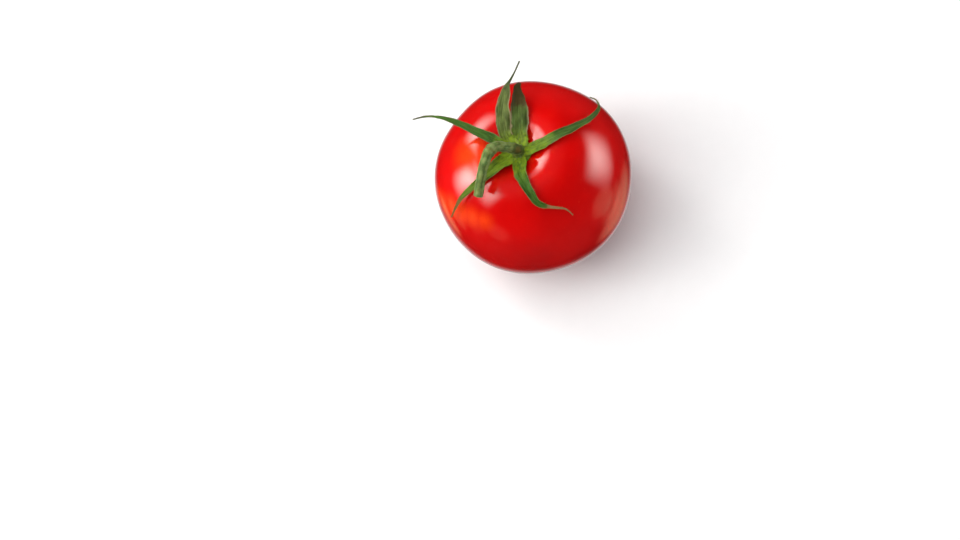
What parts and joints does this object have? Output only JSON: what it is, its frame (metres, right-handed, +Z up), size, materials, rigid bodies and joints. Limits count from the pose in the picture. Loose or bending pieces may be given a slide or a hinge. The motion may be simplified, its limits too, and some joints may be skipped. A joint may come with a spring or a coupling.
{
  "type": "tomato",
  "caption": "Ripe red tomato, round and slightly flattened, with a stem cavity, a green calyx of narrow curling sepals and a short arched stem, standing on its flat spot.",
  "frame": {"origin": "centre of the small flat spot that the tomato stands on, straight below the middle of its calyx", "axes": "+Z up along the stem axis; +X and +Y level, with the stem arching over towards -X"},
  "size_m": [0.0677, 0.0662, 0.072],
  "materials": {
    "tomato_skin": "gloss",
    "calyx_green": "matte",
    "stem_green": "matte"
  },
  "bodies": {
    "root": {"fruit": "tomato_skin", "calyx_disc": "calyx_green", "sepal_front": "calyx_green", "sepal_right": "calyx_green", "sepal_rear_right": "calyx_green", "sepal_rear": "calyx_green", "sepal_rear_left": "calyx_green", "sepal_left": "calyx_green", "stem": "stem_green"}
  },
  "joints": []
}
